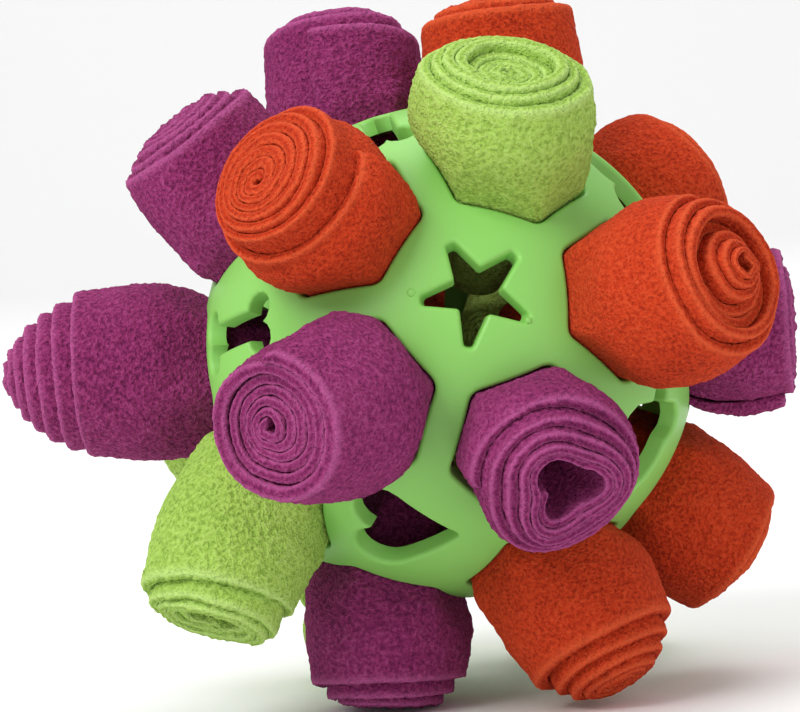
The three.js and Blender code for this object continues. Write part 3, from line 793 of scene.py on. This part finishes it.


# Fleece pile: fine fuzz in small tufts, with painted shade between them and painted light on their tops, and
# a paler line along each cut edge, a painted highlight
def makeNapGroup():
    group, given, out = newGroup("fleeceNap", [
        ("Place", "NodeSocketVector", None), ("Clump", "NodeSocketFloat", 0.5),
        ("Cut Edge", "NodeSocketFloat", 0.0), ("Deep", "NodeSocketColor", None),
        ("Body", "NodeSocketColor", None), ("Tip", "NodeSocketColor", None),
        ("Tufts", "NodeSocketFloat", 800.0)],
        [("Colour", "NodeSocketColor"), ("Height", "NodeSocketFloat")])
    place = given.outputs["Place"]
    tuft = stretch(group, noiseAt(group, place, given.outputs["Tufts"], 1.0), *nap["tuftRange"])
    fuzz = noiseAt(group, place, nap["fuzz"], 2.0, 0.65)
    drift = noiseAt(group, place, nap["drift"], 2.0)
    # Painted shade between the tufts and clumps and painted light on their tops, with random drift in tone
    tone = nap["middleTone"]
    for part, amount in ((tuft, nap["tuftShadeAndLight"]), (given.outputs["Clump"], nap["clumpShadeAndLight"]),
                         (fuzz, nap["fuzzShadeAndLight"]), (drift, nap["driftTone"])):
        tone = calculate(group, "MULTIPLY_ADD", calculate(group, "SUBTRACT", part, 0.5), amount, tone)
    colour = mixColour(group, stretch(group, tone, *nap["deepTones"]), given.outputs["Deep"],
                       given.outputs["Body"])
    colour = mixColour(group, stretch(group, tone, *nap["tipTones"]), colour, given.outputs["Tip"])
    # The cut edge: a painted highlight where its value is above 0, and darker where it is below 0
    edge = calculate(group, "MULTIPLY", given.outputs["Cut Edge"], calculate(group, "ADD", fuzz, 0.2))
    colour = mixColour(group, calculate(group, "MULTIPLY", edge, -1.0), colour, given.outputs["Deep"])
    colour = mixColour(group, edge, colour, given.outputs["Tip"])
    height = calculate(group, "MULTIPLY", tuft, nap["tuftHeight"])
    height = calculate(group, "MULTIPLY_ADD", fuzz, nap["fuzzHeight"], height)
    group.links.new(colour, out.inputs["Colour"])
    group.links.new(height, out.inputs["Height"])
    return group


def newMaterial(name):
    material = bpy.data.materials.new(name)
    material.use_nodes = True
    return material, material.node_tree, material.node_tree.nodes["Principled BSDF"]


def makeFleece(name, napGroup):
    look = fleeces[name]
    material, tree, shader = newMaterial("fleece_" + name)
    place = addNode(tree, "ShaderNodeTexCoord").outputs["Object"]
    # The clump height sets painted shade and painted light on the pile, and the cut edge value a painted
    # highlight.
    clump = addNode(tree, "ShaderNodeAttribute", {"attribute_name": "clump"}).outputs["Fac"]
    edge = addNode(tree, "ShaderNodeAttribute", {"attribute_name": "cutEdge"}).outputs["Fac"]
    group = addNode(tree, "ShaderNodeGroup", {"node_tree": napGroup}, Place=place, Clump=clump,
                    Cut_Edge=edge, Deep=look["deep"], Body=look["body"], Tip=look["tip"],
                    Tufts=look["tufts"])
    bump = addNode(tree, "ShaderNodeBump", None, Height=group.outputs["Height"], Strength=1.0,
                   Distance=look["bump"] * mm)
    tree.links.new(group.outputs["Colour"], shader.inputs["Base Color"])
    tree.links.new(bump.outputs["Normal"], shader.inputs["Normal"])
    for socket, value in nap["cloth"].items():
        shader.inputs[socket].default_value = value
    shader.inputs["Sheen Tint"].default_value = look["tip"]
    return material


def makeRubber():
    material, tree, shader = newMaterial("rubber")
    place = addNode(tree, "ShaderNodeTexCoord").outputs["Object"]
    cloud = noiseAt(tree, place, rubber["cloud"], 3.0)
    grain = noiseAt(tree, place, rubber["grain"], 2.0)
    colour = mixColour(tree, cloud, rubber["shade"], rubber["colour"])
    tree.links.new(colour, shader.inputs["Base Color"])
    smoothest, roughest = rubber["roughness"]
    rough = addNode(tree, "ShaderNodeMapRange", None, i0=cloud, i1=0.3, i2=0.7, i3=smoothest,
                    i4=roughest).outputs[0]
    tree.links.new(rough, shader.inputs["Roughness"])
    bump = addNode(tree, "ShaderNodeBump", None, Height=grain, Strength=0.25,
                   Distance=rubber["bump"] * mm)
    tree.links.new(bump.outputs["Normal"], shader.inputs["Normal"])
    shader.inputs["Specular IOR Level"].default_value = rubber["specular"]
    return material


# The camera's lengths are millimetres, and those of the floor and the lamps metres
studio = {
    "elevation": 4, "roll": 4.76, "distance": 720, "lens": 177.3, "film": 36,
    "aim": (-8.97, -0.78),      # from the ball's centre, across and up in the picture
    "floorHalf": 3, "backAt": 2.2, "backHigh": 2.5, "backCurve": 0.5, "curveSteps": 16,
    "key": {"at": (-0.68, -0.68, 0.85), "size": 0.7, "watts": 11.4},
    "fill": {"at": (0.8, -0.8, 0.35), "size": 1.0, "watts": 2.1},
    "top": {"at": (0.1, 0.35, 1.1), "size": 0.9, "watts": 6},
    "back": {"at": (0, 1.1, 1.3), "size": 1.6, "watts": 8, "toward": (0, 2.2, 0.2)},   # on the backdrop
    "sky": 0.54,
}


def makeStage():
    deselectAll()
    half, back, high = studio["floorHalf"], studio["backAt"], studio["backHigh"]
    near = 0.01
    bpy.ops.mesh.primitive_plane_add(size=2 * half, location=(0, back - half, 0))
    floor = bpy.context.object
    floor.name = "floor"
    bpy.ops.object.mode_set(mode="EDIT")
    bpy.ops.mesh.select_mode(type="EDGE")
    bpy.ops.mesh.select_all(action="DESELECT")
    bpy.ops.object.mode_set(mode="OBJECT")
    for edge in floor.data.edges:
        edge.select = all(floor.data.vertices[v].co.y > half - near for v in edge.vertices)
    bpy.ops.object.mode_set(mode="EDIT")
    bpy.ops.mesh.extrude_region_move(TRANSFORM_OT_translate={"value": (0, 0, high)})
    bpy.ops.object.mode_set(mode="OBJECT")
    for edge in floor.data.edges:
        ends = [floor.data.vertices[v].co for v in edge.vertices]
        edge.select = all(p.y > half - near and p.z < near for p in ends)
    bpy.ops.object.mode_set(mode="EDIT")
    bpy.ops.mesh.bevel(offset=studio["backCurve"], segments=studio["curveSteps"])
    bpy.ops.object.mode_set(mode="OBJECT")
    bpy.ops.object.shade_smooth()
    material, _, shader = newMaterial("floor")
    shader.inputs["Base Color"].default_value = srgb(246, 246, 246)
    shader.inputs["Roughness"].default_value = 0.8
    floor.data.materials.append(material)


def makeLight(name):
    light = studio[name]
    data = bpy.data.lights.new(name, "AREA")
    data.size, data.energy = light["size"], light["watts"]
    lamp = bpy.data.objects.new(name, data)
    bpy.context.collection.objects.link(lamp)
    middle = Vector(ball["centre"]) * mm
    lamp.location = middle + Vector(light["at"])
    away = lamp.location - Vector(light.get("toward", middle))
    lamp.rotation_euler = away.to_track_quat("Z", "Y").to_euler()


def makeCamera():
    rise, roll = math.radians(studio["elevation"]), math.radians(studio["roll"])
    back = Vector((0, -math.cos(rise), math.sin(rise)))
    level, above = Vector((1, 0, 0)), Vector((0, math.sin(rise), math.cos(rise)))
    right = level * math.cos(roll) - above * math.sin(roll)
    up = level * math.sin(roll) + above * math.cos(roll)
    data = bpy.data.cameras.new("camera")
    data.lens, data.sensor_fit, data.sensor_width = studio["lens"], "HORIZONTAL", studio["film"]
    camera = bpy.data.objects.new("camera", data)
    bpy.context.collection.objects.link(camera)
    across, higher = studio["aim"]
    place = Vector(ball["centre"]) + back * studio["distance"] + right * across + up * higher
    turn = Matrix((right, up, back)).transposed().to_4x4()
    camera.matrix_world = Matrix.Translation(place * mm) @ turn
    bpy.context.scene.camera = camera


def makeSky():
    world = bpy.data.worlds.new("studio")
    bpy.context.scene.world = world
    world.use_nodes = True
    world.node_tree.nodes["Background"].inputs["Color"].default_value = (1, 1, 1, 1)
    world.node_tree.nodes["Background"].inputs["Strength"].default_value = studio["sky"]
    bpy.context.scene.view_settings.view_transform = "Standard"


makeCamera()
makeStage()
for lampName in ("key", "fill", "top", "back"):
    makeLight(lampName)
makeSky()
print("stage, lights and camera are in place")

rubberBall = makeBall()
rubberBall.data.materials.clear()
rubberBall.data.materials.append(makeRubber())
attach(rubberBall, "root")
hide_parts("ball")
print("ball:", len(rubberBall.data.polygons), "faces")

fleeceNap = makeNapGroup()
fleeceMaterials = {name: makeFleece(name, fleeceNap) for name in fleeces}
for number, roll in enumerate(rolls):
    fleeceRoll, flatSize = makeRoll(roll, number * winding["apart"])
    fleeceRoll.data.materials.append(fleeceMaterials[roll["fleece"]])
    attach(fleeceRoll, "root")
    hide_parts(roll["node"])
    print(roll["node"], len(fleeceRoll.data.polygons), "faces")
